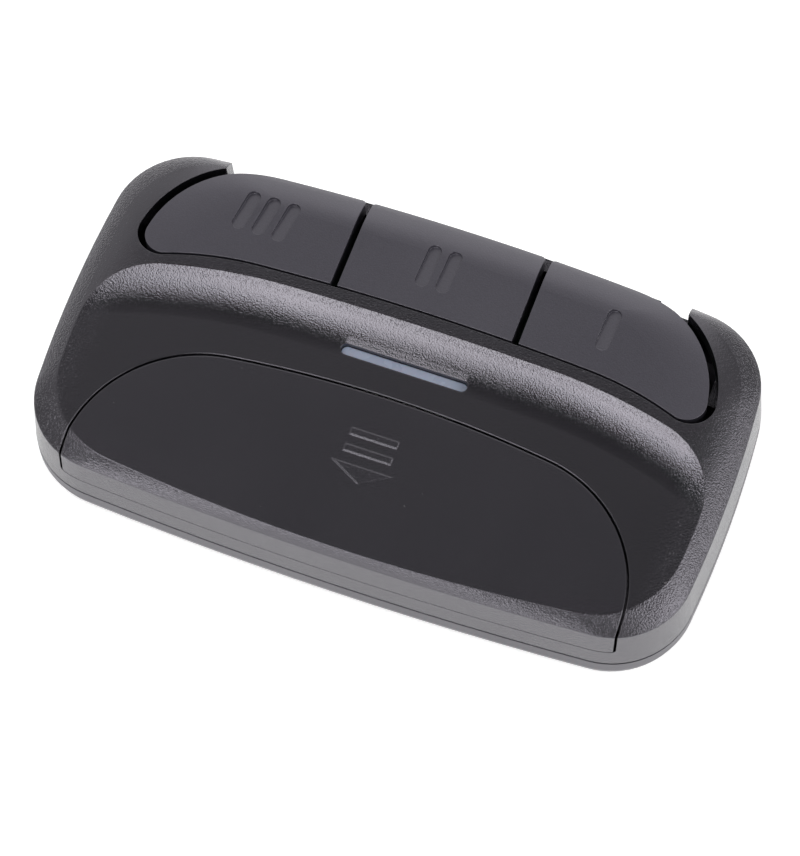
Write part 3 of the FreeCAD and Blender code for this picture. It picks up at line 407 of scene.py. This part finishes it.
# Plastics: base grey, least and most roughness, the grain's depth and cell, the edges' radius
top_plastic = moulded("top_plastic", 0.004, 0.17, 0.22, 0.054, 0.19, 0.12, shaped=True)
button_plastic = moulded("button_plastic", 0.024, 0.32, 0.38, 0.012, 0.20, 0.11)
door_plastic = moulded("door_plastic", 0.007, 0.18, 0.23, 0.072, 0.19, 0.12, shaped=True)
bottom_plastic = moulded("bottom_plastic", 0.012, 0.34, 0.42, 0.006, 0.20, 0.12, streaks=0.2)
chip_plastic = moulded("chip_plastic", 0.02, 0.45, 0.6, 0.010, 0.12, 0.05)
switch_plastic = moulded("switch_plastic", 0.03, 0.35, 0.5, 0.005, 0.12, 0.08)
plunger_plastic = moulded("plunger_plastic", 0.45, 0.35, 0.5, 0.004, 0.12, 0.08)
ceramic = moulded("ceramic", 0.30, 0.5, 0.65, 0.008, 0.1, 0.04)
lamp_resin = moulded("lamp_resin", 0.55, 0.25, 0.4, 0.002, 0.1, 0.05)

# Metals: two colours, least and most roughness, strength of the scratches
steel = worn_metal("spring_steel", (0.42, 0.42, 0.42, 1), (0.62, 0.61, 0.59, 1),
                   0.22, 0.38, 0.2)
cell_steel = worn_metal("cell_steel", (0.55, 0.55, 0.54, 1), (0.74, 0.73, 0.71, 1),
                        0.25, 0.4, 0.3)
copper = worn_metal("copper_wire", (0.52, 0.22, 0.12, 1), (0.78, 0.36, 0.20, 1),
                    0.25, 0.42, 0.2)
black_screw = worn_metal("screw_steel", (0.06, 0.06, 0.065, 1), (0.16, 0.16, 0.17, 1),
                         0.3, 0.5, 0.3)

FINISH = {"top_housing": top_plastic, "bottom_housing": bottom_plastic,
          "battery_door": door_plastic, "light_bar": clear_bar(), "indicator_leds": lamp_resin,
          "circuit_board": board_laminate(), "coin_cell": cell_steel,
          "positive_contact": steel, "negative_contact": steel, "crystal_can": steel,
          "microcontroller": chip_plastic, "radio_chip": chip_plastic,
          "resistors": chip_plastic, "resonator_filter": ceramic, "capacitors": ceramic,
          "antenna_wire": copper, "closure_screws": black_screw}


def finish_of(node):
    if node in FINISH:
        return FINISH[node]
    if node.startswith("button"):
        return button_plastic
    return plunger_plastic if "plunger" in node else switch_plastic


for name, obj in nodes.items():
    obj.data.materials.clear()
    obj.data.materials.append(finish_of(name))


def placed_mesh(name, mesh):
    obj = bpy.data.objects.new(name, mesh)
    bpy.context.scene.collection.objects.link(obj)
    return obj


def welded_copy(node, name):
    """A copy of a node's mesh with its split vertices joined, so that it is closed."""
    mesh = nodes[node].data.copy()
    mesh.name = name
    work = bmesh.new()
    work.from_mesh(mesh)
    bmesh.ops.remove_doubles(work, verts=work.verts, dist=JOIN_DISTANCE * MM)
    work.to_mesh(mesh)
    work.free()
    return placed_mesh(name, mesh)


def solid_between(name, low_points, high_points):
    """A closed solid between two rings of as many points, given in millimetres."""
    work = bmesh.new()
    bottom = [work.verts.new(Vector(point) * MM) for point in low_points]
    top = [work.verts.new(Vector(point) * MM) for point in high_points]
    work.faces.new(bottom[::-1])
    work.faces.new(top)
    count = len(bottom)
    for i in range(count):
        j = (i + 1) % count
        work.faces.new((bottom[i], bottom[j], top[j], top[i]))
    bmesh.ops.triangulate(work, faces=work.faces)
    bmesh.ops.recalc_face_normals(work, faces=work.faces)
    mesh = bpy.data.meshes.new(name)
    work.to_mesh(mesh)
    work.free()
    return placed_mesh(name, mesh)


def round_ended(length, width, steps=12):
    """The points of a stroke's outline along +Y, which ends at y = 0, and their outward
    directions."""
    radius = width / 2
    ring = []
    for middle, start in ((-radius, 0.0), (radius - length, math.pi)):
        for i in range(steps + 1):
            turn = start + math.pi * i / steps
            outward = Vector((math.cos(turn), math.sin(turn)))
            ring.append((Vector((0, middle)) + outward * radius, outward))
    return ring


def polygon_ring(corners):
    """The points of a closed outline, with the shift of each that moves both its sides by 1."""
    ring = []
    corners = [Vector(corner) for corner in corners]
    for i, corner in enumerate(corners):
        before = (corner - corners[i - 1]).normalized()
        after = (corners[(i + 1) % len(corners)] - corner).normalized()
        first = Vector((before.y, -before.x))
        second = Vector((after.y, -after.x))
        ring.append((corner, (first + second) / (1 + first.dot(second))))
    return ring


def surface_height(obj, x, y):
    """Height of an object's top at a place given in millimetres."""
    bpy.context.view_layer.update()
    start = Vector((x * MM, y * MM, RAY_START * MM))
    _, place, _, _ = obj.ray_cast(start, Vector((0, 0, -1)))
    return place.z / MM


def combine(obj, tools, operation):
    """Cuts the tools from an object or joins them to it, and removes them."""
    for tool in tools:
        cut = obj.modifiers.new("cut", "BOOLEAN")
        cut.operation = operation
        cut.solver = "EXACT"
        cut.object = tool
    graph = bpy.context.evaluated_depsgraph_get()
    mesh = bpy.data.meshes.new_from_object(obj.evaluated_get(graph))
    obj.modifiers.clear()
    obj.data = mesh
    for tool in tools:
        bpy.data.objects.remove(tool)


def keep_normals(obj, source):
    """Gives the carved mesh the smooth normals of the solid that it was cut from.

    Faces of the cut stay flat."""
    points = [vertex.co.copy() for vertex in source.vertices]
    faces = [tuple(face.vertices) for face in source.polygons]
    tree = BVHTree.FromPolygons(points, faces)
    corner_normals = [corner.vector.copy() for corner in source.corner_normals]
    mesh = obj.data
    mesh.shade_smooth()
    normals = [None] * len(mesh.loops)
    for face in mesh.polygons:
        _, normal, _, distance = tree.find_nearest(face.center)
        on_surface = (distance < SAME_SURFACE_DISTANCE * MM
                      and normal.dot(face.normal) > SAME_SURFACE_COSINE)
        for loop in face.loop_indices:
            if not on_surface:
                normals[loop] = face.normal.copy()
                continue
            corner = mesh.vertices[mesh.loops[loop].vertex_index].co
            inside = corner.lerp(face.center, CORNER_INSET)
            place, _, index, _ = tree.find_nearest(inside)
            found = source.polygons[index]
            weights = poly_3d_calc([points[i] for i in found.vertices], place)
            smooth = Vector((0, 0, 0))
            for weight, source_loop in zip(weights, found.loop_indices):
                smooth += corner_normals[source_loop] * weight
            normals[loop] = smooth.normalized()
    mesh.normals_split_custom_set(normals)


def stroke_tool(piece, x, front_y, back_y, slant):
    """A drafted cutter for one stroke, whose floor rises to the front and to the right."""
    length = back_y - front_y
    turn = Matrix.Rotation(-math.radians(slant), 2)
    back_height = surface_height(piece, x, back_y)
    front_height = surface_height(piece, x, front_y)
    low_ring = []
    high_ring = []
    for point, outward in round_ended(length, STROKE_WIDTH):
        share = -point.y / length
        surface = back_height + (front_height - back_height) * share
        depth = STROKE_BACK_DEPTH + (STROKE_FRONT_DEPTH - STROKE_BACK_DEPTH) * share
        depth = max(depth - STROKE_SIDE_TILT * point.x, STROKE_LEAST_DEPTH)
        place = Vector((x, back_y))
        low = place + turn @ (point - outward * depth * STROKE_DRAFT)
        high = place + turn @ (point + outward * STROKE_DRAFT)
        low_ring.append((low.x, low.y, surface - depth))
        high_ring.append((high.x, high.y, surface + STROKE_TOOL_ABOVE))
    return solid_between("stroke", low_ring, high_ring)


def arrow_piece(name, corners, top):
    """One raised piece of the arrow, with sloping sides."""
    low_ring = []
    high_ring = []
    for point, outward in polygon_ring(corners):
        low = point + outward * ARROW_SINK * ARROW_DRAFT
        high = point - outward * ARROW_HEIGHT * ARROW_DRAFT
        low_ring.append((low.x, low.y, top - ARROW_SINK))
        high_ring.append((high.x, high.y, top + ARROW_HEIGHT))
    return solid_between(name, low_ring, high_ring)


def cross_tool(x, y):
    """A tapered cutter for the cross recess of a screw that is driven from below."""
    side = CROSS_ARM_HALF_WIDTH
    end = CROSS_ARM_LENGTH
    ring = ((end, -side), (end, side), (side, side), (side, end), (-side, end), (-side, side),
            (-end, side), (-end, -side), (-side, -side), (-side, -end), (side, -end),
            (side, -side))
    low = [(x + px, y + py, SCREW_FACE_HEIGHT - CROSS_TOOL_BELOW) for px, py in ring]
    high = [(x + px * CROSS_TAPER, y + py * CROSS_TAPER, SCREW_FACE_HEIGHT + CROSS_DEPTH)
            for px, py in ring]
    return solid_between("cross", low, high)


def carve(piece, node, tools, operation):
    """Cuts or joins tools on the copy of a node and keeps the node's smooth normals."""
    combine(piece, tools, operation)
    keep_normals(piece, nodes[node].data)


for node, (front_y, back_y, slant, places) in STROKES.items():
    piece = welded_copy(node, node + "_marked")
    strokes = [stroke_tool(piece, x, front_y, back_y, slant) for x in places]
    carve(piece, node, strokes, "DIFFERENCE")
    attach(piece, node)
    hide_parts(node)

door = welded_copy("battery_door", "battery_door_marked")
door_top = surface_height(door, *DOOR_FLAT_PLACE)
arrow = [arrow_piece("arrow_bar", ((ARROW_BAR_LEFT, front_y), (ARROW_BAR_RIGHT, front_y),
                                   (ARROW_BAR_RIGHT, back_y), (ARROW_BAR_LEFT, back_y)),
                     door_top)
         for front_y, back_y in ARROW_BARS]
arrow.append(arrow_piece("arrow_head", ARROW_HEAD, door_top))
carve(door, "battery_door", arrow, "UNION")
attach(door, "door")
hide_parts("battery_door")

screws = welded_copy("closure_screws", "closure_screws_crossed")
crosses = [cross_tool(x, y) for x, y in SCREW_PLACES]
carve(screws, "closure_screws", crosses, "DIFFERENCE")
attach(screws, "housing")
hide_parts("closure_screws")


def white_floor():
    """Diffuse, with a glow for camera, mirror and glass rays; it isn't seen from below."""
    mat, tree = material("floor_white")
    out = tree.nodes.new("ShaderNodeOutputMaterial")
    paths = tree.nodes.new("ShaderNodeLightPath")
    diffuse = tree.nodes.new("ShaderNodeBsdfDiffuse")
    diffuse.inputs["Color"].default_value = FLOOR_COLOUR
    glow = tree.nodes.new("ShaderNodeEmission")
    glow.inputs["Color"].default_value = (1, 1, 1, 1)
    glow.inputs["Strength"].default_value = FLOOR_GLOW
    lit = tree.nodes.new("ShaderNodeAddShader")
    link(tree, diffuse, "BSDF", lit, 0)
    link(tree, glow, "Emission", lit, 1)
    seen = calculated(tree, "MAXIMUM", (paths, "Is Camera Ray"), (paths, "Is Glossy Ray"))
    shown = calculated(tree, "MAXIMUM", (seen, "Value"), (paths, "Is Transmission Ray"))
    chosen = tree.nodes.new("ShaderNodeMixShader")
    link(tree, shown, "Value", chosen, "Fac")
    link(tree, diffuse, "BSDF", chosen, 1)
    link(tree, lit, "Shader", chosen, 2)
    sides = tree.nodes.new("ShaderNodeNewGeometry")
    unseen = tree.nodes.new("ShaderNodeBsdfTransparent")
    one_sided = tree.nodes.new("ShaderNodeMixShader")
    link(tree, sides, "Backfacing", one_sided, "Fac")
    link(tree, chosen, "Shader", one_sided, 1)
    link(tree, unseen, "BSDF", one_sided, 2)
    link(tree, one_sided, "Shader", out, "Surface")
    return mat


bpy.ops.mesh.primitive_plane_add(size=FLOOR_SIDE, location=(0, 0, 0))
floor = bpy.context.object
floor.name = "floor"
floor.data.materials.append(white_floor())

# The studio's dome
world = bpy.data.worlds.new("studio")
bpy.context.scene.world = world
world.use_nodes = True
world_tree = world.node_tree
sky = world_tree.nodes["Background"]
sky.inputs["Strength"].default_value = LIGHT_LEVEL
direction = world_tree.nodes.new("ShaderNodeTexCoord")
dome = level_ramp(world_tree, SKY_LEVELS)
link(world_tree, split(world_tree, direction.outputs["Generated"]), "Z", dome, "Fac")
link(world_tree, dome, "Color", sky, "Color")

for name, (place, aim, width, height, power, turn) in LAMPS.items():
    data = bpy.data.lights.new(name, "AREA")
    data.shape = "RECTANGLE"
    data.size = width
    data.size_y = height
    data.energy = power * LIGHT_LEVEL
    lamp = bpy.data.objects.new(name, data)
    bpy.context.scene.collection.objects.link(lamp)
    lamp.location = place
    lamp.rotation_mode = "QUATERNION"
    facing = (Vector(aim) - Vector(place)).to_track_quat("-Z", "Y")
    lamp.rotation_quaternion = facing @ Quaternion((0, 0, 1), math.radians(turn))

# The camera
azimuth = math.radians(VIEW_AZIMUTH)
elevation = math.radians(VIEW_ELEVATION)
roll = math.radians(VIEW_ROLL)
back = Vector((math.sin(azimuth) * math.cos(elevation),
               -math.cos(azimuth) * math.cos(elevation), math.sin(elevation)))
right = Vector((0, 0, 1)).cross(back).normalized()
up = back.cross(right)
right_rolled = right * math.cos(roll) + up * math.sin(roll)
up_rolled = up * math.cos(roll) - right * math.sin(roll)
centre = (Vector((0, 0, VIEW_TARGET_HEIGHT)) - right_rolled * VIEW_ASIDE
          - up_rolled * VIEW_UP + back * VIEW_DISTANCE) * MM
camera_data = bpy.data.cameras.new("camera")
camera_data.sensor_width = SENSOR
camera_data.lens = VIEW_FOCAL_PIXELS / PHOTO_LONG_SIDE * SENSOR
camera_data.clip_start = CLIP_START * MM
camera_data.clip_end = CLIP_END * MM
camera = bpy.data.objects.new("camera", camera_data)
bpy.context.scene.collection.objects.link(camera)
camera.matrix_world = Matrix(((right_rolled.x, up_rolled.x, back.x, centre.x),
                              (right_rolled.y, up_rolled.y, back.y, centre.y),
                              (right_rolled.z, up_rolled.z, back.z, centre.z),
                              (0, 0, 0, 1)))
bpy.context.scene.camera = camera
bpy.context.scene.view_settings.view_transform = "Standard"
